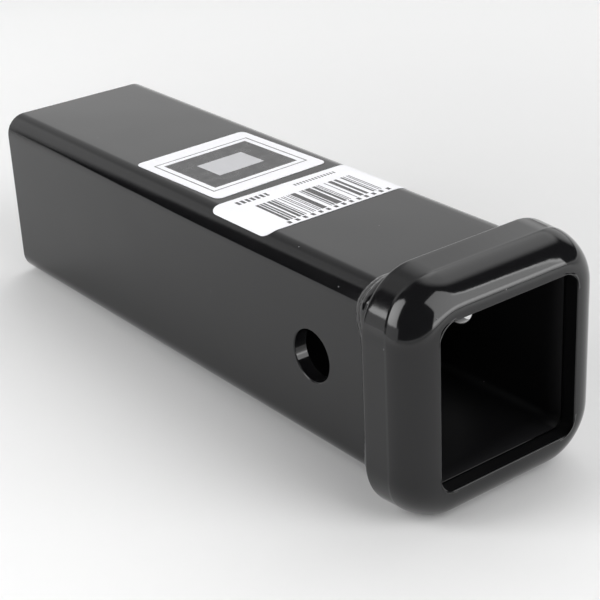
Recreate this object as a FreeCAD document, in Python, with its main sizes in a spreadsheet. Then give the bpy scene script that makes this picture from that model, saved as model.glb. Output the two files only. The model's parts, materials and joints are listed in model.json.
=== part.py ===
import FreeCAD, Part
import math
import os
import Sketcher

# Hitch receiver sleeve: a square steel tube whose mouth end sits in a rounded reinforcing collar.
# The collar is one piece with a short lip that covers the end of the tube and forms the mouth.
# A fillet weld closes the joint behind the collar, and two stickers lie on the top of the tube.
# The frame has its origin where the pin hole's axis crosses the centre line of the tube.
# +X points out of the mouth, +Y runs along the pin hole and +Z is up.

doc = FreeCAD.newDocument("receiver_sleeve")
sheet = doc.addObject("Spreadsheet::Sheet", "sizes")

# Driving sizes in millimetres, angles in degrees
SIZES = (
    ("sleeve_length", "237", "mouth face to the rear end of the tube"),
    ("tube_side", "63.5", "outer width and height of the tube"),
    ("tube_wall", "5", "wall of the tube"),
    ("tube_corner", "7.5", "outer corner radius of the tube"),
    ("bore_corner", "3", "inner corner radius of the tube"),
    ("end_chamfer", "0.4", "deburred edges of the sawn rear end"),
    ("pin_diameter", "17", "pin hole through both side walls"),
    ("pin_setback", "52.8", "pin hole axis behind the mouth face"),
    ("pin_chamfer", "0.5", "broken edge round the pin hole"),
    ("collar_wall", "7.35", "height of the collar above the tube"),
    ("collar_depth", "20.5", "length of the collar along the tube"),
    ("collar_corner", "18.6", "outer corner radius of the collar"),
    ("collar_rear_edge", "1", "broken rear outer edge of the collar"),
    ("collar_clearance", "0.1", "gap on each side between tube and collar"),
    ("lip_depth", "5.6", "length of the lip in front of the tube's end"),
    ("lip_step", "0.25", "how far the mouth stands back from the tube's inner wall"),
    ("mouth_corner", "4", "corner radius of the mouth"),
    ("mouth_land", "0.5", "flat ring between the mouth and the collar's rounding"),
    ("mouth_edge", "0.4", "broken edge of the mouth"),
    ("weld_run", "8", "weld leg along the tube"),
    ("weld_rise", "4.2", "weld leg up the collar's rear face"),
    ("weld_crown", "0.5", "height of the weld's face over a flat one"),
    ("label_thickness", "0.15", "thickness of both stickers"),
    ("square_label_margin", "0.9", "bare flat left on each side of the square sticker"),
    ("square_label_corner", "2.5", "corner radius of the square sticker"),
    ("square_label_shift", "0.5", "centre of the square sticker off the middle, towards -Y"),
    ("square_label_turn", "2", "the square sticker's slight turn"),
    ("label_gap", "3.8", "smallest gap between the two stickers"),
    ("bar_label_width", "29.9", "width of the long sticker along the tube"),
    ("bar_label_setback", "91.75", "centre of the long sticker behind the mouth face"),
    ("bar_label_corner", "3", "corner radius of the long sticker"),
    ("bar_label_near_angle", "37", "how far the long sticker goes round the -Y edge"),
    ("bar_label_far_angle", "70", "how far the long sticker goes round the +Y edge"),
)
for row, (name, value, note) in enumerate(SIZES, start=1):
    sheet.set("A%d" % row, name)
    sheet.set("B%d" % row, value)
    sheet.set("C%d" % row, note)
    sheet.setAlias("B%d" % row, name)
doc.recompute()

# Sizes that follow from the driving ones, worked out in the sheet
DERIVED = (
    ("bore_side", "=tube_side - 2 * tube_wall"),
    ("mouth_side", "=bore_side + 2 * lip_step"),
    ("collar_side", "=tube_side + 2 * collar_wall"),
    ("collar_round", "=(collar_side - mouth_side) / 2 - mouth_land"),
    ("socket_side", "=tube_side + 2 * collar_clearance"),
    ("socket_corner", "=tube_corner + collar_clearance"),
    ("tube_front", "=pin_setback - lip_depth"),
    ("collar_rear", "=pin_setback - collar_depth"),
    ("flat_half", "=tube_side / 2 - tube_corner"),
    ("square_label_side", "=2 * flat_half - 2 * square_label_margin"),
    ("square_label_reach", "=(square_label_side / 2 - square_label_corner) * "
     "(cos(square_label_turn) + sin(square_label_turn)) + square_label_corner"),
    ("square_label_setback", "=bar_label_setback + bar_label_width / 2 + label_gap + square_label_reach"),
    ("bar_label_near", "=flat_half + (tube_corner + label_thickness / 2) * sin(bar_label_near_angle)"),
    ("bar_label_far", "=flat_half + (tube_corner + label_thickness / 2) * sin(bar_label_far_angle)"),
)
for row, (name, formula) in enumerate(DERIVED, start=len(SIZES) + 2):
    sheet.set("A%d" % row, name)
    sheet.set("B%d" % row, formula)
    sheet.setAlias("B%d" % row, name)
doc.recompute()


def size(name):
    """The number that the sheet holds under this name."""
    return float(sheet.get(name))


def new_body(label):
    """An empty body that becomes one piece of the sleeve."""
    body = doc.addObject("PartDesign::Body", label)
    body.Label = label
    return body


def new_sketch(body, name, plane, along=None):
    """A sketch on one of the body's own planes, moved along the plane's normal by a formula."""
    sketch = body.newObject("Sketcher::SketchObject", name)
    support = [item for item in body.Origin.OriginFeatures if item.Role == plane][0]
    sketch.AttachmentSupport = (support, [""])
    sketch.MapMode = "FlatFace"
    if along:
        sketch.setExpression("AttachmentOffset.Base.z", along)
    doc.recompute()
    return sketch


def add_named(sketch, name, formula, *terms):
    """A dimension of the sketch, bound to a formula of the sheet's sizes."""
    index = sketch.addConstraint(Sketcher.Constraint(*terms))
    sketch.renameConstraint(index, name)
    sketch.setExpression("Constraints." + name, formula)


def quarter_arc(centre, radius, quarter):
    """A quarter of a circle, counted anticlockwise from the one between +x and +y."""
    circle = Part.Circle(centre, FreeCAD.Vector(0, 0, 1), radius)
    return Part.ArcOfCircle(circle, quarter * math.pi / 2, (quarter + 1) * math.pi / 2)


def draw_rounded_rectangle(sketch, across, high, corner):
    """A rectangle with rounded corners, centred on the sketch; each size is a number and its formula."""
    radius = corner[0]
    half_x = across[0] / 2
    half_y = high[0] / 2
    flat_x = half_x - radius
    flat_y = half_y - radius
    point = FreeCAD.Vector
    centres = (point(flat_x, flat_y), point(-flat_x, flat_y), point(-flat_x, -flat_y), point(flat_x, -flat_y))
    sides = (
        (point(flat_x, half_y), point(-flat_x, half_y)),
        (point(-half_x, flat_y), point(-half_x, -flat_y)),
        (point(-flat_x, -half_y), point(flat_x, -half_y)),
        (point(half_x, -flat_y), point(half_x, flat_y)),
    )
    arcs = []
    lines = []
    for index in range(4):
        arcs.append(sketch.addGeometry(quarter_arc(centres[index], radius, index), False))
        lines.append(sketch.addGeometry(Part.LineSegment(*sides[index]), False))
    for index in range(4):
        following = arcs[(index + 1) % 4]
        sketch.addConstraint(Sketcher.Constraint("Tangent", arcs[index], 2, lines[index], 1))
        sketch.addConstraint(Sketcher.Constraint("Tangent", lines[index], 2, following, 1))
    for index in (0, 2):
        sketch.addConstraint(Sketcher.Constraint("Horizontal", lines[index]))
        sketch.addConstraint(Sketcher.Constraint("Vertical", lines[index + 1]))
    for index in (1, 2, 3):
        sketch.addConstraint(Sketcher.Constraint("Equal", arcs[0], arcs[index]))
    sketch.addConstraint(Sketcher.Constraint("Symmetric", arcs[0], 3, arcs[2], 3, -1, 1))
    add_named(sketch, "corner", corner[1], "Radius", arcs[0], radius)
    add_named(sketch, "across", across[1], "DistanceX", lines[1], 1, lines[3], 1, across[0])
    add_named(sketch, "high", high[1], "DistanceY", lines[2], 1, lines[0], 1, high[0])
    doc.recompute()


def draw_rectangle(sketch, across, high):
    """A plain rectangle centred on the sketch; each size is a number and its formula."""
    half_x = across[0] / 2
    half_y = high[0] / 2
    point = FreeCAD.Vector
    corners = (point(half_x, half_y), point(-half_x, half_y), point(-half_x, -half_y), point(half_x, -half_y))
    lines = []
    for index in range(4):
        following = corners[(index + 1) % 4]
        lines.append(sketch.addGeometry(Part.LineSegment(corners[index], following), False))
    for index in range(4):
        following = lines[(index + 1) % 4]
        sketch.addConstraint(Sketcher.Constraint("Coincident", lines[index], 2, following, 1))
    for index in (0, 2):
        sketch.addConstraint(Sketcher.Constraint("Horizontal", lines[index]))
        sketch.addConstraint(Sketcher.Constraint("Vertical", lines[index + 1]))
    sketch.addConstraint(Sketcher.Constraint("Symmetric", lines[0], 1, lines[2], 1, -1, 1))
    add_named(sketch, "frame_across", across[1], "DistanceX", lines[0], 2, lines[0], 1, across[0])
    add_named(sketch, "frame_high", high[1], "DistanceY", lines[1], 2, lines[1], 1, high[0])
    doc.recompute()


def draw_band(sketch, flat, radius):
    """The tube's top outline: a quarter round, the flat and a quarter round, at one distance from the tube."""
    far_centre = FreeCAD.Vector(flat, flat, 0)
    near_centre = FreeCAD.Vector(-flat, flat, 0)
    far_end = FreeCAD.Vector(flat, flat + radius, 0)
    near_end = FreeCAD.Vector(-flat, flat + radius, 0)
    far_arc = sketch.addGeometry(quarter_arc(far_centre, radius, 0), False)
    line = sketch.addGeometry(Part.LineSegment(far_end, near_end), False)
    near_arc = sketch.addGeometry(quarter_arc(near_centre, radius, 1), False)
    sketch.addConstraint(Sketcher.Constraint("Tangent", far_arc, 2, line, 1))
    sketch.addConstraint(Sketcher.Constraint("Tangent", line, 2, near_arc, 1))
    sketch.addConstraint(Sketcher.Constraint("Horizontal", line))


def square_sketch(body, name, plane, along, side_name, corner_name):
    """A rounded square whose side and corner are sizes of the sheet."""
    sketch = new_sketch(body, name, plane, along)
    side = (size(side_name), "sizes." + side_name)
    draw_rounded_rectangle(sketch, side, side, (size(corner_name), "sizes." + corner_name))
    return sketch


def pad(body, name, sketch, formula, backwards=False):
    """Material drawn from a sketch along its normal, or against it."""
    feature = body.newObject("PartDesign::Pad", name)
    feature.Profile = sketch
    feature.Reversed = backwards
    feature.setExpression("Length", formula)
    doc.recompute()
    return feature


def pocket(body, name, sketch, formula=None, forwards=False, both_ways=False):
    """A cut from a sketch against its normal, to a depth or right through, that has to remove material."""
    before = body.Shape.Volume
    feature = body.newObject("PartDesign::Pocket", name)
    feature.Profile = sketch
    feature.Reversed = forwards
    feature.Midplane = both_ways
    if formula:
        feature.setExpression("Length", formula)
    else:
        feature.Type = "ThroughAll"
    doc.recompute()
    if not body.Shape.Volume < before - 1:
        raise RuntimeError(name + " removes nothing")
    return feature


def edges_where(feature, test):
    """The names of the feature's edges that pass a test."""
    return ["Edge%d" % (i + 1) for i, edge in enumerate(feature.Shape.Edges) if test(edge)]


def at_x(edge, place):
    """Whether the whole edge lies in the plane at this X."""
    box = edge.BoundBox
    return abs(box.XMin - place) < 1e-4 and abs(box.XMax - place) < 1e-4


def reach(edge):
    """How far the edge comes from the tube's centre line, across or up."""
    box = edge.BoundBox
    return max(abs(box.YMin), abs(box.YMax), abs(box.ZMin), abs(box.ZMax))


def dress(body, kind, name, base, edges, prop, formula):
    """A rounding or a chamfer on some edges of the feature before it."""
    if not edges:
        raise RuntimeError(name + " finds no edges")
    feature = body.newObject(kind, name)
    feature.Base = (base, edges)
    feature.setExpression(prop, formula)
    doc.recompute()
    return feature


# Square tube, sawn off plain at the rear, with its front end inside the collar
tube = new_body("receiver_tube")
outline = square_sketch(tube, "TubeOutline", "YZ_Plane", "sizes.tube_front", "tube_side", "tube_corner")
tube_length = "sizes.sleeve_length - sizes.lip_depth"
tube_pad = pad(tube, "TubePad", outline, tube_length, backwards=True)
bore_sketch = square_sketch(tube, "BoreOutline", "YZ_Plane", "sizes.tube_front", "bore_side", "bore_corner")
bore = pocket(tube, "Bore", bore_sketch)
rear_end = size("pin_setback") - size("sleeve_length")
sawn = edges_where(bore, lambda edge: at_x(edge, rear_end))
deburred = dress(tube, "PartDesign::Chamfer", "RearEdges", bore, sawn, "Size", "sizes.end_chamfer")

# Pin hole straight through both side walls, with its outer edges broken
pin_sketch = new_sketch(tube, "PinCircle", "XZ_Plane")
pin_radius = size("pin_diameter") / 2
pin_circle = Part.Circle(FreeCAD.Vector(0, 0, 0), FreeCAD.Vector(0, 0, 1), pin_radius)
pin_sketch.addGeometry(pin_circle, False)
pin_sketch.addConstraint(Sketcher.Constraint("Coincident", 0, 3, -1, 1))
add_named(pin_sketch, "bore", "sizes.pin_diameter", "Diameter", 0, 2 * pin_radius)
pin_hole = pocket(tube, "PinHole", pin_sketch, both_ways=True)
rims = edges_where(
    pin_hole,
    lambda edge: isinstance(edge.Curve, Part.Circle)
    and abs(edge.Curve.Radius - pin_radius) < 1e-4
    and abs(edge.Curve.Axis.y) > 0.99
    and abs(abs(edge.Curve.Center.y) - size("tube_side") / 2) < 1e-4,
)
dress(tube, "PartDesign::Chamfer", "PinEdges", pin_hole, rims, "Size", "sizes.pin_chamfer")

# Collar: a square ring with a deep rounding all round its front, bored for the tube and the mouth
collar = new_body("mouth_collar")
block = square_sketch(collar, "CollarOutline", "YZ_Plane", "sizes.collar_rear", "collar_side", "collar_corner")
block_pad = pad(collar, "CollarBlock", block, "sizes.collar_depth")
front_edges = edges_where(block_pad, lambda edge: at_x(edge, size("pin_setback")))
rounded = dress(
    collar, "PartDesign::Fillet", "FrontRounding", block_pad, front_edges, "Radius", "sizes.collar_round"
)
rear_edges = edges_where(rounded, lambda edge: at_x(edge, size("collar_rear")))
eased = dress(
    collar, "PartDesign::Chamfer", "RearEdge", rounded, rear_edges, "Size", "sizes.collar_rear_edge"
)
socket_sketch = square_sketch(
    collar, "SocketOutline", "YZ_Plane", "sizes.collar_rear", "socket_side", "socket_corner"
)
socket_depth = "sizes.collar_depth - sizes.lip_depth"
pocket(collar, "Socket", socket_sketch, socket_depth, forwards=True)
mouth_sketch = square_sketch(
    collar, "MouthOutline", "YZ_Plane", "sizes.pin_setback", "mouth_side", "mouth_corner"
)
mouth = pocket(collar, "Mouth", mouth_sketch)
mouth_limit = size("mouth_side") / 2 + 1e-3
lip_middle = size("pin_setback") - size("lip_depth") / 2
mouth_edges = edges_where(
    mouth, lambda edge: edge.BoundBox.XMin > lip_middle and reach(edge) < mouth_limit
)
dress(collar, "PartDesign::Chamfer", "MouthEdge", mouth, mouth_edges, "Size", "sizes.mouth_edge")

# Fillet weld that runs round the tube behind the collar, its crowned section swept along the tube's outline
weld = new_body("collar_weld")
weld_path = square_sketch(weld, "WeldPath", "YZ_Plane", "sizes.collar_rear", "tube_side", "tube_corner")
weld_sketch = new_sketch(weld, "WeldSection", "XY_Plane", "sizes.flat_half")
toe_x = size("collar_rear") - size("weld_run")
root_y = size("tube_side") / 2
root = FreeCAD.Vector(size("collar_rear"), root_y, 0)
top = FreeCAD.Vector(size("collar_rear"), root_y + size("weld_rise"), 0)
toe = FreeCAD.Vector(toe_x, root_y, 0)
slope = top - toe
outward = FreeCAD.Vector(-slope.y, slope.x, 0).normalize()
crown = (top + toe) * 0.5 + outward * size("weld_crown")
weld_sketch.addGeometry(Part.LineSegment(toe, root), False)
weld_sketch.addGeometry(Part.LineSegment(root, top), False)
weld_sketch.addGeometry(Part.Arc(top, crown, toe), False)
weld_sketch.addConstraint(Sketcher.Constraint("Coincident", 0, 2, 1, 1))
weld_sketch.addConstraint(Sketcher.Constraint("Coincident", 1, 2, 2, 1))
weld_sketch.addConstraint(Sketcher.Constraint("Coincident", 2, 2, 0, 1))
weld_sketch.addConstraint(Sketcher.Constraint("Horizontal", 0))
weld_sketch.addConstraint(Sketcher.Constraint("Vertical", 1))
add_named(weld_sketch, "place", "sizes.collar_rear", "DistanceX", -1, 1, 1, 1, root.x)
add_named(weld_sketch, "base", "sizes.tube_side / 2", "DistanceY", -1, 1, 1, 1, root.y)
add_named(weld_sketch, "run", "sizes.weld_run", "DistanceX", 0, 1, 0, 2, size("weld_run"))
add_named(weld_sketch, "rise", "sizes.weld_rise", "DistanceY", 1, 1, 1, 2, size("weld_rise"))
chord = "(sizes.weld_run ^ 2 + sizes.weld_rise ^ 2)"
face_radius = chord + " / (8 * sizes.weld_crown) + sizes.weld_crown / 2"
face_start = weld_sketch.Geometry[2].Radius
add_named(weld_sketch, "face", face_radius, "Radius", 2, face_start)
doc.recompute()
bead = weld.newObject("PartDesign::AdditivePipe", "WeldBead")
bead.Profile = weld_sketch
bead.Spine = (weld_path, ["Edge%d" % (i + 1) for i in range(len(weld_path.Shape.Edges))])
doc.recompute()

# Square sticker on the flat of the tube's top, put on by hand and a little askew
square_label = new_body("square_label")
square_label_outline = square_sketch(
    square_label, "SquareLabelOutline", "XY_Plane", None, "square_label_side", "square_label_corner"
)
pad(square_label, "SquareLabelSheet", square_label_outline, "sizes.label_thickness")
square_label.Placement = FreeCAD.Placement(
    FreeCAD.Vector(0, 0, 0), FreeCAD.Rotation(FreeCAD.Vector(0, 0, 1), 1)
)
square_label.setExpression("Placement.Rotation.Angle", "sizes.square_label_turn * 1 deg")
square_label.setExpression("Placement.Base.x", "sizes.pin_setback - sizes.square_label_setback")
square_label.setExpression("Placement.Base.y", "-sizes.square_label_shift")
square_label.setExpression("Placement.Base.z", "sizes.tube_side / 2")
doc.recompute()

# Long sticker across the top that bends down over both rounded edges of the tube
# A band is drawn over the top and both edges, and all outside the sticker's outline in plan is cut away
bar_label = new_body("bar_label")
band_rear = "sizes.pin_setback - sizes.bar_label_setback - sizes.bar_label_width"
band = new_sketch(bar_label, "BarLabelBand", "YZ_Plane", band_rear)
flat = size("flat_half")
under_radius = size("tube_corner")
over_radius = under_radius + size("label_thickness")
draw_band(band, flat, under_radius)
draw_band(band, flat, over_radius)
for under_point, over_point in (((0, 1), (3, 1)), ((2, 2), (5, 2))):
    start = band.getPoint(*under_point)
    finish = band.getPoint(*over_point)
    end = band.addGeometry(Part.LineSegment(start, finish), False)
    band.addConstraint(Sketcher.Constraint("Coincident", end, 1, *under_point))
    band.addConstraint(Sketcher.Constraint("Coincident", end, 2, *over_point))
    band.addConstraint(Sketcher.Constraint("Horizontal", end))
    band.addConstraint(Sketcher.Constraint("PointOnObject", under_point[0], 3, end))
for arc in (0, 2):
    band.addConstraint(Sketcher.Constraint("Coincident", arc, 3, arc + 3, 3))
band.addConstraint(Sketcher.Constraint("Symmetric", 0, 3, 2, 3, -2))
add_named(band, "flat_width", "2 * sizes.flat_half", "DistanceX", 2, 3, 0, 3, 2 * flat)
add_named(band, "flat_height", "sizes.flat_half", "DistanceY", -1, 1, 0, 3, flat)
add_named(band, "under_radius", "sizes.tube_corner", "Radius", 0, under_radius)
add_named(band, "over_radius", "sizes.tube_corner + sizes.label_thickness", "Radius", 3, over_radius)
doc.recompute()
pad(bar_label, "BarLabelBandSheet", band, "2 * sizes.bar_label_width")
frame = new_sketch(bar_label, "BarLabelFrame", "XY_Plane")
frame.setExpression("AttachmentOffset.Base.x", "sizes.pin_setback - sizes.bar_label_setback")
frame.setExpression("AttachmentOffset.Base.y", "(sizes.bar_label_far - sizes.bar_label_near) / 2")
draw_rounded_rectangle(
    frame,
    (size("bar_label_width"), "sizes.bar_label_width"),
    (size("bar_label_near") + size("bar_label_far"), "sizes.bar_label_near + sizes.bar_label_far"),
    (size("bar_label_corner"), "sizes.bar_label_corner"),
)
draw_rectangle(
    frame,
    (3 * size("bar_label_width"), "3 * sizes.bar_label_width"),
    (2 * size("tube_side"), "2 * sizes.tube_side"),
)
pocket(bar_label, "BarLabelTrim", frame, both_ways=True)

# Check and write each piece
pieces = (tube, collar, weld, square_label, bar_label)
doc.recompute()
for item in doc.Objects:
    if "Invalid" in item.State or "Error" in item.State:
        raise RuntimeError(item.Name + " did not build")
for piece in pieces:
    if piece.Shape.isNull() or not piece.Shape.isValid() or len(piece.Shape.Solids) != 1:
        raise RuntimeError(piece.Label + " is not one valid solid")
os.makedirs("parts", exist_ok=True)
for piece in pieces:
    piece.Shape.exportStep("parts/" + piece.Label + ".step")
    box = piece.Shape.optimalBoundingBox()
    print("%s %.1f x %.1f x %.1f mm" % (piece.Label, box.XLength, box.YLength, box.ZLength))
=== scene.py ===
import json
import math

import bmesh
import bpy
from mathutils import Matrix, Vector, noise


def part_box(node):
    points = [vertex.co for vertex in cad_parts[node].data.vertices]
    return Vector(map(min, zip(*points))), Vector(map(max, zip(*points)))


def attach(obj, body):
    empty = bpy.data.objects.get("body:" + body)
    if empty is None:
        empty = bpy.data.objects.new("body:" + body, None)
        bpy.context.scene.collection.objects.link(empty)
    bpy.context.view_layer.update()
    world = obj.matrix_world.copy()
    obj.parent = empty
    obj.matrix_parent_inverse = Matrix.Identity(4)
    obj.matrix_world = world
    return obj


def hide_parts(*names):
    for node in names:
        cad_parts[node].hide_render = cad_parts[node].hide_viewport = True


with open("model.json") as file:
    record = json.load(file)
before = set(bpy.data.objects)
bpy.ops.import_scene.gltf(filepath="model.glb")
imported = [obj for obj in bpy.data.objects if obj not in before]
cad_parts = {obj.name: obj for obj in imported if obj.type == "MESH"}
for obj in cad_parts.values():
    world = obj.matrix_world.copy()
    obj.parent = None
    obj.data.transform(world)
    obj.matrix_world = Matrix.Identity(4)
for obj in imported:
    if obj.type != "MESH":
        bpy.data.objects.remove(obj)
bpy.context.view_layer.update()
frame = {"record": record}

# Hitch receiver sleeve: a square steel tube with a rounded collar at its mouth, under one gloss black coat,
# with two stickers on top. Lengths below are millimetres in the part's own frame, meshes are metres:
# the origin lies on the pin hole's axis, +X points out of the mouth and +Z is up.
MM = 0.001


def node_box(name):
    """The lowest and highest corner of a CAD node, in millimetres."""
    low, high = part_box(name)
    return low / MM, high / MM


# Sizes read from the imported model
tube_low, tube_high = node_box("receiver_tube")
collar_low, collar_high = node_box("mouth_collar")
weld_low, weld_high = node_box("collar_weld")
square_low, square_high = node_box("square_label")
bar_low, bar_high = node_box("bar_label")
mounts = {mount["name"]: mount for mount in frame["record"]["mounts"]}
TUBE_HALF = tube_high.z
TUBE_REAR = tube_low.x
TUBE_FRONT = tube_high.x
COLLAR_HALF = collar_high.z
COLLAR_REAR = collar_low.x
MOUTH_FACE = collar_high.x
WELD_TOE = weld_low.x
WELD_HALF = weld_high.z
PIN_RADIUS = mounts["pin_bore"]["dims"]["r_mm"]

# Sizes that the boxes don't give
TUBE_WALL = 5.0
TUBE_CORNER = 7.5
BORE_CORNER = 3.0
TUBE_END_EDGE = 0.4
PIN_EDGE = 0.5
COLLAR_CORNER = 18.6
COLLAR_ROUND = 11.6
COLLAR_REAR_EDGE = 1.5
COLLAR_CLEARANCE = 0.1
MOUTH_STEP = 0.25
MOUTH_CORNER = 4.0
MOUTH_EDGE = 0.4
WELD_CROWN = 0.5
STICKER_THICKNESS = 0.15
SQUARE_SIDE = 46.7
SQUARE_CORNER = 2.5
SQUARE_TURN = 2.0
BAR_CORNER = 3.0
BAR_NEAR_ANGLE = 37.0
BAR_FAR_ANGLE = 70.0
BORE_HALF = TUBE_HALF - TUBE_WALL
MOUTH_HALF = BORE_HALF + MOUTH_STEP

# The collar's outer wall falls a little from the rear to a shoulder, a narrow band that ends in a crease
# where the front rounding begins. The crease angle is in degrees, and the crease runs back at the corners.
COLLAR_SHOULDER = 42.3
SHOULDER_DEPTH = 1.0
SHOULDER_DROP = 0.36
SHOULDER_RISE = 0.03
SHOULDER_CREASE = 8.0
SHOULDER_WANDER = 1.6


def quarter(steps):
    """The angles of a quarter turn, from 0 to 90 degrees."""
    return [math.pi / 2 * step / steps for step in range(steps + 1)]


def spread(start, end, steps):
    """Evenly spaced values, both ends among them."""
    return [start + (end - start) * step / steps for step in range(steps + 1)]


def square_ring(x, half, corner, shares, corner_steps):
    """Points round a rounded square in the plane at x. It starts low on the +Y side and climbs.
    Each side has its flat points at the given shares of the flat, from -1 up to but not including 1."""
    flat = half - corner
    side = [(half, flat * share) for share in shares]
    for step in range(corner_steps):
        angle = math.pi / 2 * step / corner_steps
        side.append((flat + corner * math.cos(angle), flat + corner * math.sin(angle)))
    ring = []
    for turn in range(4):
        cos, sin = ((1, 0), (0, 1), (-1, 0), (0, -1))[turn]
        ring += [(x, y * cos - z * sin, y * sin + z * cos) for y, z in side]
    return ring


def corner_share(y, z, sideways=0.0, width=0.45):
    """1 at the corners of the section, falling smoothly to 0 towards its flats.
    The peak lies on the diagonal, or nearer to the tube's sides where sideways is above 0."""
    lean = (abs(y) - abs(z)) / math.hypot(y, z)
    near = max(0.0, 1 - abs(lean - sideways) / width)
    return near * near * (3 - 2 * near)


def sweep(rows, shares, corner_steps, skip=()):
    """Points and faces of a closed section carried round a rounded square.
    Each row is (x, half, corner). Faces named in skip as (row, column) are left out."""
    points = []
    for x, half, corner in rows:
        points += square_ring(x, half, corner, shares, corner_steps)
    count = len(points) // len(rows)
    faces = []
    for row in range(len(rows)):
        here = row * count
        after = (row + 1) % len(rows) * count
        for column in range(count):
            if (row, column) in skip:
                continue
            beside = (column + 1) % count
            faces.append((here + column, here + beside, after + beside, after + column))
    return points, faces


def make_piece(name, points, faces, node, material):
    """A smooth mesh piece that rides on the part and stands for a CAD node."""
    mesh = bpy.data.meshes.new(name)
    mesh.from_pydata([Vector(point) * MM for point in points], [], faces)
    shape = bmesh.new()
    shape.from_mesh(mesh)
    unused = [vertex for vertex in shape.verts if not vertex.link_faces]
    bmesh.ops.delete(shape, geom=unused, context="VERTS")
    bmesh.ops.recalc_face_normals(shape, faces=shape.faces)
    shape.to_mesh(mesh)
    shape.free()
    mesh.polygons.foreach_set("use_smooth", [True] * len(mesh.polygons))
    mesh.materials.append(material)
    piece = bpy.data.objects.new(name, mesh)
    bpy.context.scene.collection.objects.link(piece)
    even = piece.modifiers.new("even_normals", "WEIGHTED_NORMAL")
    even.mode = "FACE_AREA"
    even.weight = 100
    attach(piece, "root")
    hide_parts(node)


def build_tube(material):
    """The square tube as quads. In each side wall a square block of cells makes way for the pin hole."""
    block_cells = 16
    block_half = 16.0
    margin_cells = 3
    front_cells = 4
    rear_cells = 24
    edge_steps = 4
    corner_steps = 14
    block_share = block_half / (TUBE_HALF - TUBE_CORNER)
    shares = spread(-1, -block_share, margin_cells)[:-1]
    shares += spread(-block_share, block_share, block_cells)
    shares += spread(block_share, 1, margin_cells)[1:-1]
    rear_wall = TUBE_REAR + TUBE_END_EDGE
    stations = spread(TUBE_FRONT, block_half, front_cells)[:-1]
    stations += spread(block_half, -block_half, block_cells)
    stations += spread(-block_half, rear_wall, rear_cells)[1:]
    outer = [(x, TUBE_HALF, TUBE_CORNER) for x in stations]
    inner = [(x, BORE_HALF, BORE_CORNER) for x in reversed(stations)]
    rim = []
    for angle in quarter(edge_steps)[1:]:
        cut = TUBE_END_EDGE * (1 - math.cos(angle))
        rim.append((rear_wall - TUBE_END_EDGE * math.sin(angle), TUBE_HALF - cut, TUBE_CORNER - cut))
    for angle in quarter(edge_steps)[::-1][:-1]:
        cut = TUBE_END_EDGE * (1 - math.cos(angle))
        rim.append((rear_wall - TUBE_END_EDGE * math.sin(angle), BORE_HALF + cut, BORE_CORNER + cut))
    rows = outer + rim + inner
    first_row = stations.index(block_half)
    last_row = first_row + block_cells
    inner_first = len(rows) - 1 - last_row
    inner_last = len(rows) - 1 - first_row
    side_columns = len(shares) + corner_steps
    skip = set()
    holes = []
    for side in (0, 2):
        first_column = side * side_columns + margin_cells
        last_column = first_column + block_cells
        for column in range(first_column, last_column):
            skip |= {(row, column) for row in range(first_row, last_row)}
            skip |= {(row, column) for row in range(inner_first, inner_last)}
        loops = []
        for low_row, high_row in ((first_row, last_row), (inner_last, inner_first)):
            step = 1 if high_row > low_row else -1
            loop = [(low_row, column) for column in range(first_column, last_column)]
            loop += [(row, last_column) for row in range(low_row, high_row, step)]
            loop += [(high_row, column) for column in range(last_column, first_column, -1)]
            loop += [(row, first_column) for row in range(high_row, low_row, -step)]
            loops.append(loop)
        holes.append(loops)
    points, faces = sweep(rows, shares, corner_steps, skip)
    count = 4 * side_columns
    for loops in holes:
        outer_loop, inner_loop = [[row * count + column for row, column in loop] for loop in loops]
        add_hole(points, faces, outer_loop, inner_loop)
    make_piece("tube_coated", points, faces, "receiver_tube", material)


def add_hole(points, faces, outer_loop, inner_loop):
    """A round hole with softened rims, between a square loop on the outer wall and one on the inner."""
    blend_steps = 3
    rim_steps = 5
    wall_steps = 3
    outside = points[outer_loop[0]][1]
    inside = points[inner_loop[0]][1]
    inward = math.copysign(1, inside - outside)
    angles = [math.atan2(points[index][2], points[index][0]) for index in outer_loop]
    rim = []
    for angle in quarter(rim_steps):
        radius = PIN_RADIUS + PIN_EDGE - PIN_EDGE * math.sin(angle)
        rim.append((radius, inward * PIN_EDGE * (1 - math.cos(angle))))
    wall = spread(outside + inward * PIN_EDGE, inside - inward * PIN_EDGE, wall_steps)
    sections = [(radius, outside + sink) for radius, sink in rim]
    sections += [(PIN_RADIUS, y) for y in wall[1:-1]]
    sections += [(radius, inside - sink) for radius, sink in reversed(rim)]
    rings = []
    for radius, y in sections:
        rings.append([Vector((radius * math.cos(angle), y, radius * math.sin(angle))) for angle in angles])
    blends = []
    for loop, ring in ((outer_loop, rings[0]), (inner_loop, rings[-1])):
        corners = [Vector(points[index]) for index in loop]
        blend = []
        for step in range(1, blend_steps):
            blend.append([a.lerp(b, step / blend_steps) for a, b in zip(corners, ring)])
        blends.append(blend)
    rings = blends[0] + rings + blends[1][::-1]
    loops = [outer_loop]
    for ring in rings:
        loops.append(list(range(len(points), len(points) + len(ring))))
        points += [tuple(point) for point in ring]
    loops.append(inner_loop)
    for loop, after in zip(loops, loops[1:]):
        for index in range(len(loop)):
            beside = (index + 1) % len(loop)
            faces.append((loop[index], loop[beside], after[beside], after[index]))


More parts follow.
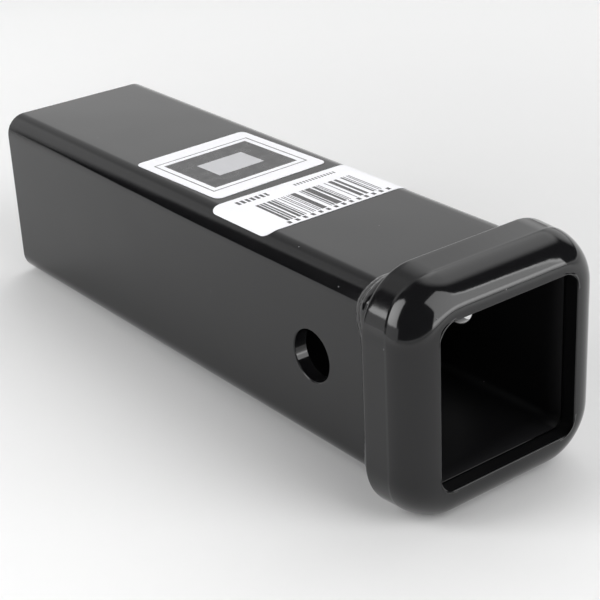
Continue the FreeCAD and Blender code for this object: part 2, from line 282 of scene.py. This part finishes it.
def build_collar(material):
    """The collar: lip, mouth edge, front rounding, shoulder, outer wall, rear edge and the tube's socket."""
    flat_steps = 90
    corner_steps = 28
    round_steps = 28
    edge_steps = 5
    lip_steps = 6
    taper_steps = 6
    shoulder_shares = (0.1, 0.5, 0.9, 1.0)
    rows = [(x, MOUTH_HALF, MOUTH_CORNER) for x in spread(TUBE_FRONT, MOUTH_FACE - MOUTH_EDGE, lip_steps)]
    for angle in quarter(edge_steps)[1:]:
        cut = MOUTH_EDGE * (1 - math.cos(angle))
        rows.append((MOUTH_FACE - MOUTH_EDGE * (1 - math.sin(angle)), MOUTH_HALF + cut, MOUTH_CORNER + cut))
    first_outer = len(rows)

    # The front rounding is part of an ellipse, upright at the mouth face and at the crease angle behind
    shoulder_end = COLLAR_SHOULDER + SHOULDER_DEPTH
    lean = math.tan(math.radians(SHOULDER_CREASE))
    depth = MOUTH_FACE - shoulder_end
    height = COLLAR_ROUND - SHOULDER_DROP
    start = math.asin(lean * depth / (height - lean * depth))
    long_radius = depth / (1 - math.sin(start))
    high_radius = height / math.cos(start)
    for angle in spread(math.pi / 2, start, round_steps):
        x = MOUTH_FACE - long_radius * (1 - math.sin(angle))
        cut = COLLAR_ROUND - high_radius * math.cos(angle)
        rows.append((x, COLLAR_HALF - cut, COLLAR_CORNER - cut))
    for share in shoulder_shares:
        cut = SHOULDER_DROP + SHOULDER_RISE * share
        rows.append((shoulder_end - SHOULDER_DEPTH * share, COLLAR_HALF - cut, COLLAR_CORNER - cut))
    rear_wall = COLLAR_REAR + COLLAR_REAR_EDGE
    for share in spread(0, 1, taper_steps)[1:]:
        x = COLLAR_SHOULDER + (rear_wall - COLLAR_SHOULDER) * share
        cut = (SHOULDER_DROP + SHOULDER_RISE) * (1 - share)
        rows.append((x, COLLAR_HALF - cut, COLLAR_CORNER - cut))
    last_outer = len(rows)
    for angle in quarter(edge_steps)[1:]:
        x = rear_wall - COLLAR_REAR_EDGE * math.sin(angle)
        cut = COLLAR_REAR_EDGE * (1 - math.cos(angle))
        rows.append((x, COLLAR_HALF - cut, COLLAR_CORNER - cut))
    socket = TUBE_HALF + COLLAR_CLEARANCE
    socket_corner = TUBE_CORNER + COLLAR_CLEARANCE
    rows += [(x, socket, socket_corner) for x in (COLLAR_REAR, TUBE_FRONT)]
    points, faces = sweep(rows, spread(-1, 1, flat_steps)[:-1], corner_steps)

    # The crease and the rows beside it run back at the corners
    count = len(points) // len(rows)
    for row in range(first_outer, last_outer):
        behind = (rows[row][0] - rear_wall) / (COLLAR_SHOULDER - rear_wall)
        ahead = (MOUTH_FACE - rows[row][0]) / (MOUTH_FACE - shoulder_end)
        back = SHOULDER_WANDER * min(behind, ahead, 1.0)
        for index in range(row * count, (row + 1) * count):
            x, y, z = points[index]
            points[index] = (x - back * corner_share(y, z), y, z)
    make_piece("collar_coated", points, faces, "mouth_collar", material)


def build_weld(material):
    """The fillet weld behind the collar: two passes side by side with fine ripples,
    fuller and wider at the upper corners."""
    flat_steps = 200
    corner_steps = 60
    face_steps = 32
    ripple_pitch = 2.1
    ripple_height = 0.06
    ripple_mean = 0.6
    ripple_bow = 1.6
    pass_height = 0.45
    pass_mean = 0.6
    uneven_height = 0.06
    uneven_scale = 0.12
    corner_spread = 1.5
    corner_swell = 0.9
    low_corners = 0.2
    corner_sideways = 0.22
    corner_width = 0.36
    rise = WELD_HALF - TUBE_HALF
    run = COLLAR_REAR - WELD_TOE
    slope = math.hypot(run, rise)
    shares = spread(0, 1, face_steps)
    rows = []
    for share in shares:
        rows.append((WELD_TOE + run * share, TUBE_HALF + rise * share, TUBE_CORNER + rise * share))
    rows.append((COLLAR_REAR, TUBE_HALF, TUBE_CORNER))
    points, faces = sweep(rows, spread(-1, 1, flat_steps)[:-1], corner_steps)
    count = len(points) // len(rows)
    for row, share in enumerate(shares):
        hump = 4 * share * (1 - share)
        bead = abs(math.sin(2 * math.pi * share))
        way = 0.0
        before = Vector(points[row * count])
        for column in range(count):
            index = row * count + column
            point = Vector(points[index])
            way += (point - before).length
            before = point.copy()
            outward = Vector((0, point.y, point.z)).normalized()
            corner = corner_share(point.y, point.z, corner_sideways, corner_width)
            if point.z < 0:
                corner *= low_corners
            uneven = noise.noise(point * uneven_scale)
            wave = abs(math.sin(math.pi * ((way + ripple_bow * bead) / ripple_pitch + uneven)))
            push = hump * (WELD_CROWN + corner_swell * corner + uneven_height * uneven)
            push += pass_height * (bead - pass_mean * hump) + ripple_height * bead * (wave - ripple_mean)
            back = corner_spread * corner * (1 - share)
            shift = Vector((-push * rise / slope - back, 0, 0)) + outward * (push * run / slope)
            points[index] = tuple(point + shift)
    make_piece("weld_bead", points, faces, "collar_weld", material)


def rounded_outline(length, width, corner, steps):
    """A rounded rectangle round the origin, as a list of flat points."""
    outline = []
    for turn, (sx, sy) in enumerate(((1, 1), (-1, 1), (-1, -1), (1, -1))):
        centre = Vector((sx * (length / 2 - corner), sy * (width / 2 - corner)))
        for angle in quarter(steps):
            way = angle + turn * math.pi / 2
            outline.append(centre + Vector((math.cos(way), math.sin(way))) * corner)
    return outline


def build_square_sticker(material):
    """The square sticker, flat on the top of the tube and turned a little."""
    corner_steps = 8
    centre = (square_low + square_high) / 2
    turn = Matrix.Rotation(math.radians(SQUARE_TURN), 2)
    outline = rounded_outline(SQUARE_SIDE, SQUARE_SIDE, SQUARE_CORNER, corner_steps)
    outline = [turn @ point for point in outline]
    count = len(outline)
    points = []
    for height in (TUBE_HALF, TUBE_HALF + STICKER_THICKNESS):
        points += [(centre.x + point.x, centre.y + point.y, height) for point in outline]
    faces = [tuple(range(count)), tuple(range(count, 2 * count))]
    faces += [(i, (i + 1) % count, count + (i + 1) % count, count + i) for i in range(count)]
    make_piece("square_sticker", points, faces, "square_label", material)


def wrap(way, lift):
    """The point (y, z) that lies this far along the top of the tube from its middle,
    wrapped over the rounded edges."""
    flat = TUBE_HALF - TUBE_CORNER
    side = math.copysign(1, way)
    past = max(abs(way) - flat, 0.0)
    angle = past / TUBE_CORNER
    radius = TUBE_CORNER + lift
    y = side * (min(abs(way), flat) + radius * math.sin(angle))
    z = flat + radius * math.cos(angle)
    return y, z


def build_bar_sticker(material):
    """The long sticker across the tube, with both ends wrapped over the rounded edges."""
    column_cells = 12
    corner_steps = 8
    way_cells = 60
    flat = TUBE_HALF - TUBE_CORNER
    near = -flat - TUBE_CORNER * math.radians(BAR_NEAR_ANGLE)
    far = flat + TUBE_CORNER * math.radians(BAR_FAR_ANGLE)
    middle = (bar_low.x + bar_high.x) / 2
    half = (bar_high.x - bar_low.x) / 2
    columns = spread(-1, 1, column_cells)
    corner_ways = [BAR_CORNER * (1 - math.cos(angle)) for angle in quarter(corner_steps)]
    ways = [near + way for way in corner_ways]
    ways += spread(near + BAR_CORNER, far - BAR_CORNER, way_cells)[1:-1]
    ways += [far - way for way in corner_ways[::-1]]
    points = []
    for lift in (0.0, STICKER_THICKNESS):
        for way in ways:
            inset = max(BAR_CORNER - min(way - near, far - way), 0.0)
            reach = half - BAR_CORNER + math.sqrt(max(BAR_CORNER ** 2 - inset ** 2, 0.0))
            y, z = wrap(way, lift)
            points += [(middle + reach * share, y, z) for share in columns]
    width = len(columns)
    layer = len(ways) * width
    faces = []
    for row in range(len(ways) - 1):
        for column in range(width - 1):
            corner = row * width + column
            quad = (corner, corner + 1, corner + width + 1, corner + width)
            faces += [quad, tuple(index + layer for index in quad)]
        for column in (0, width - 1):
            edge = row * width + column
            faces.append((edge, edge + width, edge + width + layer, edge + layer))
    for row in (0, len(ways) - 1):
        for column in range(width - 1):
            edge = row * width + column
            faces.append((edge, edge + 1, edge + 1 + layer, edge + layer))
    make_piece("bar_sticker", points, faces, "bar_label", material)


def add_node(tree, kind, inputs=(), **settings):
    """A shader node with its settings and inputs, each input a plain value or a socket to link."""
    made = tree.nodes.new(kind)
    for name, value in settings.items():
        setattr(made, name, value)
    for key, value in dict(inputs).items():
        if isinstance(value, bpy.types.NodeSocket):
            tree.links.new(value, made.inputs[key])
        else:
            made.inputs[key].default_value = value
    return made


def calc(tree, operation, *values):
    """The result of a math node."""
    return add_node(tree, "ShaderNodeMath", enumerate(values), operation=operation).outputs[0]


def ramp(tree, value, low, high, start=0.0, end=1.0):
    """A smooth change from start to end while the value goes from low to high."""
    inputs = {"Value": value, "From Min": low, "From Max": high, "To Min": start, "To Max": end}
    return add_node(tree, "ShaderNodeMapRange", inputs, interpolation_type="SMOOTHSTEP").outputs["Result"]


def blend_colour(tree, share, colour, other):
    """One colour at share 0 and the other at share 1."""
    mix = add_node(tree, "ShaderNodeMix", data_type="RGBA")
    for socket, value in zip((mix.inputs[0], mix.inputs[6], mix.inputs[7]), (share, colour, other)):
        if isinstance(value, bpy.types.NodeSocket):
            tree.links.new(value, socket)
        else:
            socket.default_value = value
    return mix.outputs[2]


def grain(tree, place, scale, detail=2.0):
    """Noise with features of about one over scale metres."""
    inputs = {"Vector": place, "Scale": scale, "Detail": detail}
    return add_node(tree, "ShaderNodeTexNoise", inputs).outputs["Fac"]


def relief(tree, layers):
    """The normal of stacked bump layers, each (height, distance in metres)."""
    normal = None
    for height, distance in layers:
        inputs = {"Height": height, "Distance": distance, "Strength": 1.0}
        if normal is not None:
            inputs["Normal"] = normal
        normal = add_node(tree, "ShaderNodeBump", inputs).outputs["Normal"]
    return normal


def split(tree, vector):
    """The X, Y and Z of a vector."""
    axes = add_node(tree, "ShaderNodeSeparateXYZ", {"Vector": vector})
    return axes.outputs["X"], axes.outputs["Y"], axes.outputs["Z"]


def new_material(name):
    """A material with its tree, its shader and the position on the part in metres."""
    material = bpy.data.materials.new(name)
    material.use_nodes = True
    tree = material.node_tree
    place = add_node(tree, "ShaderNodeTexCoord").outputs["Object"]
    return material, tree, tree.nodes["Principled BSDF"], place


def coat_inside(tree, place):
    """1 on the walls of the bore and the lip, but 0 on the lower step between the two."""
    margin = 0.05
    step_margin = 0.02
    x, y, z = split(tree, place)
    reach = calc(tree, "MAXIMUM", calc(tree, "ABSOLUTE", y), calc(tree, "ABSOLUTE", z))
    inside = calc(tree, "LESS_THAN", reach, (MOUTH_HALF + margin) * MM)
    behind = calc(tree, "LESS_THAN", x, (MOUTH_FACE - MOUTH_EDGE) * MM)
    step = calc(tree, "COMPARE", x, TUBE_FRONT * MM, step_margin * MM)
    low_step = calc(tree, "MULTIPLY", step, calc(tree, "LESS_THAN", z, -BORE_HALF * MM))
    return calc(tree, "MULTIPLY", inside, calc(tree, "SUBTRACT", behind, low_step))


def coat_material():
    """Gloss black coat over steel: long swells, slight orange peel, dust specks and faint hairlines.
    Inside the bore and the lip it is dull."""
    material, tree, shader, place = new_material("black_coat")
    black = (0.0055, 0.0055, 0.006, 1)
    dust = (0.11, 0.11, 0.115, 1)
    speck_scale = 210.0
    speck_limit = 0.86
    cloud_scale = 45.0
    hairline_scale = 1500.0
    hairline_stretch = (0.02, 1.0, 1.0)
    swell_scale = 35.0
    peel_scale = 520.0
    coat_index = 1.44
    cells = add_node(tree, "ShaderNodeTexVoronoi", {"Vector": place, "Scale": speck_scale})
    toss = add_node(tree, "ShaderNodeSeparateColor", {"Color": cells.outputs["Color"]}).outputs[0]
    dot = ramp(tree, cells.outputs["Distance"], 0.03, 0.06, 1.0, 0.0)
    speck = calc(tree, "MULTIPLY", dot, calc(tree, "GREATER_THAN", toss, speck_limit))
    tree.links.new(blend_colour(tree, speck, black, dust), shader.inputs["Base Color"])

    # A faint cloud, hairlines along the tube and specks make the gloss uneven
    stretch = {"Vector": place, "Scale": hairline_stretch}
    lengthwise = add_node(tree, "ShaderNodeMapping", stretch).outputs["Vector"]
    hairline = ramp(tree, grain(tree, lengthwise, hairline_scale, 1.0), 0.70, 0.78)
    rough = ramp(tree, grain(tree, place, cloud_scale), 0.3, 0.7, 0.07, 0.11)
    rough = calc(tree, "ADD", rough, calc(tree, "MULTIPLY", hairline, 0.05))
    rough = calc(tree, "ADD", rough, calc(tree, "MULTIPLY", speck, 0.4))
    inside = coat_inside(tree, place)
    tree.links.new(calc(tree, "MULTIPLY_ADD", inside, 0.4, rough), shader.inputs["Roughness"])
    tree.links.new(calc(tree, "MULTIPLY_ADD", inside, -0.4, 0.5), shader.inputs["Specular IOR Level"])
    shader.inputs["IOR"].default_value = coat_index

    # Bump layers, each a height and the distance in metres that it stands for
    swell = (grain(tree, place, swell_scale, 0.0), 0.00015)
    peel = (grain(tree, place, peel_scale), 0.000008)
    grit = (speck, 0.00003)
    tree.links.new(relief(tree, [swell, peel, grit]), shader.inputs["Normal"])
    return material


def paper_shader(tree, shader, place, ink, ink_colour):
    """White sticker stock with a satin face, printed where ink is 1."""
    white = (0.88, 0.88, 0.91, 1)
    off_white = (0.85, 0.85, 0.885, 1)
    tone_scale = 90.0
    satin_scale = 300.0
    swell_scale = 60.0
    fibre_scale = 2500.0
    stock = blend_colour(tree, grain(tree, place, tone_scale), white, off_white)
    tree.links.new(blend_colour(tree, ink, stock, ink_colour), shader.inputs["Base Color"])
    rough = ramp(tree, grain(tree, place, satin_scale), 0.3, 0.7, 0.30, 0.42)
    rough = calc(tree, "SUBTRACT", rough, calc(tree, "MULTIPLY", ink, 0.05))
    tree.links.new(rough, shader.inputs["Roughness"])
    swell = (grain(tree, place, swell_scale, 0.0), 0.0001)
    fibre = (grain(tree, place, fibre_scale), 0.000004)
    tree.links.new(relief(tree, [swell, fibre]), shader.inputs["Normal"])


def between(tree, value, low, high):
    """1 where the value lies between low and high."""
    above = calc(tree, "GREATER_THAN", value, low)
    return calc(tree, "MULTIPLY", above, calc(tree, "LESS_THAN", value, high))


def local_millimetres(tree, place, centre, turn):
    """Position on a sticker in millimetres from its centre, along and across the tube."""
    turned = (0, 0, math.radians(turn))
    inputs = {"Vector": place, "Location": centre * MM, "Rotation": turned, "Scale": (MM, MM, MM)}
    mapped = add_node(tree, "ShaderNodeMapping", inputs, vector_type="TEXTURE").outputs["Vector"]
    return split(tree, mapped)[:2]


def block(tree, along, across, length, width):
    """1 inside a rectangle in the middle of the sticker."""
    inside = between(tree, along, -length / 2, length / 2)
    return calc(tree, "MULTIPLY", inside, between(tree, across, -width / 2, width / 2))


def square_sticker_material():
    """White sticker with a dark field in a thin frame and a paler field in its middle."""
    material, tree, shader, place = new_material("square_sticker")
    ink_colour = (0.035, 0.035, 0.037, 1)
    paleness = 0.55
    along, across = local_millimetres(tree, place, (square_low + square_high) / 2, SQUARE_TURN)
    frame_outside = block(tree, along, across, 34, 40)
    frame_inside = block(tree, along, across, 33, 39)
    field = block(tree, along, across, 29, 35)
    middle = block(tree, along, across, 13, 19)
    frame_line = calc(tree, "SUBTRACT", frame_outside, frame_inside)
    ink = calc(tree, "ADD", frame_line, calc(tree, "MULTIPLY_ADD", middle, -paleness, field))
    paper_shader(tree, shader, place, ink, ink_colour)
    return material


def dashes(tree, across, start, end, pitch, share):
    """A row of plain dashes between start and end."""
    beat = calc(tree, "FRACT", calc(tree, "DIVIDE", across, pitch))
    return calc(tree, "MULTIPLY", between(tree, across, start, end), calc(tree, "LESS_THAN", beat, share))


def bar_sticker_material():
    """White sticker with a field of uneven stripes along the tube and three rows of plain dashes."""
    material, tree, shader, place = new_material("bar_sticker")
    ink_colour = (0.03, 0.03, 0.032, 1)
    stripe_width = 0.41
    bare_share = 0.46
    centre = (bar_low + bar_high) / 2
    along, across = local_millimetres(tree, place, Vector((centre.x, 0, 0)), 0.0)
    beat = calc(tree, "FLOOR", calc(tree, "DIVIDE", across, stripe_width))
    toss = add_node(tree, "ShaderNodeTexWhiteNoise", {"W": beat}, noise_dimensions="1D").outputs["Value"]
    ink = calc(tree, "GREATER_THAN", toss, bare_share)
    ink = calc(tree, "MULTIPLY", ink, between(tree, across, -17.6, 21.6))
    ink = calc(tree, "MULTIPLY", ink, between(tree, along, -5.6, 11.4))

    # Each row of dashes: its ends along the tube, its ends across it, the pitch and the inked share
    rows = (
        (-12.4, -9.6, -21.5, -8.5, 1.9, 0.62),
        (-12.0, -10.4, 2.0, 20.0, 1.25, 0.55),
        (12.0, 13.9, -20.0, 23.0, 3.1, 0.42),
    )
    for low, high, start, end, pitch, share in rows:
        row = dashes(tree, across, start, end, pitch, share)
        ink = calc(tree, "MAXIMUM", ink, calc(tree, "MULTIPLY", between(tree, along, low, high), row))
    paper_shader(tree, shader, place, ink, ink_colour)
    return material


coat = coat_material()
build_tube(coat)
build_collar(coat)
build_weld(coat)
build_square_sticker(square_sticker_material())
build_bar_sticker(bar_sticker_material())

# Camera fitted to the edges of the part in the photograph
CAMERA_PLACE = Vector((338.03, -286.33, 218.72))
CAMERA_FORWARD = Vector((-0.72552, 0.53967, -0.42706))
CAMERA_UP = Vector((-0.3109, 0.2966, 0.9030))
CAMERA_LENS = 94.74
CAMERA_SENSOR = 36
CAMERA_CLIP = 0.01


def add_camera():
    """The camera, as far from the part and as turned as the photograph's."""
    lens = bpy.data.cameras.new("camera")
    lens.lens = CAMERA_LENS
    lens.sensor_width = CAMERA_SENSOR
    lens.clip_start = CAMERA_CLIP
    camera = bpy.data.objects.new("camera", lens)
    right = CAMERA_FORWARD.cross(CAMERA_UP).normalized()
    up = right.cross(CAMERA_FORWARD).normalized()
    turn = Matrix((right, up, -CAMERA_FORWARD)).transposed()
    camera.matrix_world = Matrix.Translation(CAMERA_PLACE * MM) @ turn.to_4x4()
    bpy.context.scene.collection.objects.link(camera)
    bpy.context.scene.camera = camera


def add_floor():
    """A pale floor that touches the bottom of the collar and the lower rear edge of the tube."""
    half = 40.0
    pale = (0.79, 0.79, 0.79, 1)
    shade = (0.77, 0.77, 0.77, 1)
    touch = COLLAR_REAR + COLLAR_REAR_EDGE
    tilt = math.atan2(COLLAR_HALF - TUBE_HALF, touch - TUBE_REAR)
    corners = [(-half, -half, 0), (half, -half, 0), (half, half, 0), (-half, half, 0)]
    mesh = bpy.data.meshes.new("floor")
    mesh.from_pydata(corners, [], [(0, 1, 2, 3)])
    floor = bpy.data.objects.new("floor", mesh)
    floor.location = Vector((touch, 0, -COLLAR_HALF)) * MM
    floor.rotation_euler = (0, tilt, 0)
    material, tree, shader, place = new_material("floor_paper")
    shader.inputs["Roughness"].default_value = 0.9
    tree.links.new(blend_colour(tree, grain(tree, place, 3.0), pale, shade), shader.inputs["Base Color"])

    # The floor glows a little away from the part and more further out, to meet the pale ground of the world
    radius = add_node(tree, "ShaderNodeVectorMath", {0: place}, operation="LENGTH").outputs["Value"]
    near_lift = ramp(tree, radius, 0.15, 0.55, 0.0, 0.25)
    far_lift = ramp(tree, radius, 0.55, 4.0, 0.0, 0.5)
    shader.inputs["Emission Color"].default_value = (1, 1, 1, 1)
    tree.links.new(calc(tree, "ADD", near_lift, far_lift), shader.inputs["Emission Strength"])
    mesh.materials.append(material)
    bpy.context.scene.collection.objects.link(floor)


def toward(azimuth, elevation):
    """The unit vector at an azimuth from +X towards +Y and an elevation, both in degrees."""
    azimuth = math.radians(azimuth)
    elevation = math.radians(elevation)
    level = math.cos(elevation)
    return Vector((math.cos(azimuth) * level, math.sin(azimuth) * level, math.sin(elevation)))


def add_softbox(name, corners, middle, rim, distance=0.9):
    """A flat lamp panel that faces the origin. Its corners are (azimuth, elevation) as seen from there,
    and its strength falls from its middle to its farthest corner."""
    ways = [toward(*corner) for corner in corners]
    facing = sum(ways, Vector()).normalized()
    points = [way * (distance / way.dot(facing)) for way in ways]
    centre = facing * distance
    reach = max((point - centre).length for point in points)
    mesh = bpy.data.meshes.new(name)
    mesh.from_pydata([point - centre for point in points], [], [tuple(range(len(points)))])
    material = bpy.data.materials.new(name)
    material.use_nodes = True
    tree = material.node_tree
    tree.nodes.remove(tree.nodes["Principled BSDF"])
    place = add_node(tree, "ShaderNodeTexCoord").outputs["Object"]
    radius = add_node(tree, "ShaderNodeVectorMath", {0: place}, operation="LENGTH").outputs["Value"]
    glow = add_node(tree, "ShaderNodeEmission", {"Strength": ramp(tree, radius, 0.0, reach, middle, rim)})
    tree.links.new(glow.outputs[0], tree.nodes["Material Output"].inputs["Surface"])
    mesh.materials.append(material)
    panel = bpy.data.objects.new(name, mesh)
    panel.location = centre
    panel.visible_camera = False
    bpy.context.scene.collection.objects.link(panel)
    return panel


def add_lights():
    """A panel to the left over a pale card, and a tall panel in front to the right with two brighter edges.
    A small dark card at the left shows in reflections only."""
    left = [(-131.5, 15), (-128, 15.7), (-122, 15.7), (-110, 15.5), (-87, 18), (-91, 28), (-93, 40)]
    left += [(-97, 55), (-112, 56), (-123, 49), (-126.5, 38), (-128, 25), (-129.5, 20), (-131, 17)]
    below = [(-131, -2), (-80, -2), (-80, 18), (-87, 18.5), (-110, 16), (-122, 16.2), (-131, 16)]
    shaded = [(-137, -9), (-128, -9), (-128, 8), (-158, 8)]
    front = [(-0.7, -1), (48.5, -1), (45.5, 8), (44, 16), (43.5, 22), (16.2, 61.7)]
    front += [(-29.1, 53.6), (-3.5, 26.9)]
    low_edge = [(-0.7, 2), (47, 2), (46, 6.5), (-0.7, 8.5)]
    side_edge = [(43, 8), (45.5, 8), (44, 16), (43.5, 22), (37, 34), (35, 33), (41, 21)]
    edge_distance = 0.88
    add_softbox("panel_left", left, 7.4, 4.8)
    add_softbox("card_left", below, 1.2, 1.15, 0.93)
    dark = add_softbox("dark_card", shaded, 0.0, 0.0, 0.39)
    dark.visible_diffuse = False
    dark.visible_shadow = False
    add_softbox("panel_front", front, 3.8, 3.2)
    add_softbox("strip_low", low_edge, 6.6, 6.2, edge_distance)
    add_softbox("strip_side", side_edge, 6.6, 6.2, edge_distance)


def closeness(tree, way, aim):
    """The cosine of the angle between a direction and an aim."""
    product = add_node(tree, "ShaderNodeVectorMath", {0: way, 1: aim}, operation="DOT_PRODUCT")
    return product.outputs["Value"]


def add_world():
    """A dim room with a pale backdrop behind the part, one soft glow overhead and one low at the far side,
    and pale ground up to the horizon."""
    dim = 0.03
    backdrop_way = toward(170, 0)
    patch_way = toward(163, 36)
    glow_way = toward(108, 56)
    low_glow_way = toward(111, 20)
    world = bpy.data.worlds.new("studio")
    world.use_nodes = True
    bpy.context.scene.world = world
    tree = world.node_tree
    way = add_node(tree, "ShaderNodeTexCoord").outputs["Generated"]
    height = split(tree, way)[2]
    level = add_node(tree, "ShaderNodeVectorMath", {0: way, 1: (1, 1, 0)}, operation="MULTIPLY").outputs[0]
    level = add_node(tree, "ShaderNodeVectorMath", {0: level}, operation="NORMALIZE").outputs[0]

    # The backdrop fades towards its top and has a duller patch, which the collar's top mirrors
    backdrop = ramp(tree, closeness(tree, level, backdrop_way), 0.70, 0.80)
    backdrop = calc(tree, "MULTIPLY", backdrop, ramp(tree, height, 0.45, 0.80, 1.0, 0.6))
    backdrop = calc(tree, "MULTIPLY", backdrop, ramp(tree, height, 0.80, 0.92, 1.0, 0.0))
    patch = ramp(tree, closeness(tree, way, patch_way), 0.94, 0.99, 1.0, 0.6)
    backdrop = calc(tree, "MULTIPLY", backdrop, patch)
    ground = ramp(tree, height, -0.02, 0.02, 1.0, 0.0)
    pale = calc(tree, "ADD", calc(tree, "MAXIMUM", backdrop, ground), dim)

    glow = ramp(tree, closeness(tree, way, glow_way), 0.83, 0.96, 0.0, 1.75)
    glow = calc(tree, "MULTIPLY", glow, ramp(tree, height, 0.30, 0.60))
    low_glow = ramp(tree, closeness(tree, way, low_glow_way), 0.91, 0.985, 0.0, 1.1)
    low_glow = calc(tree, "MULTIPLY", low_glow, ramp(tree, height, 0.0, 0.08))
    glow = calc(tree, "MAXIMUM", glow, low_glow)
    shine = tree.nodes["Background"]
    shine.inputs["Color"].default_value = (1, 1, 1, 1)
    tree.links.new(calc(tree, "ADD", pale, glow), shine.inputs["Strength"])


add_camera()
add_floor()
add_lights()
add_world()
bpy.context.scene.view_settings.view_transform = "Standard"
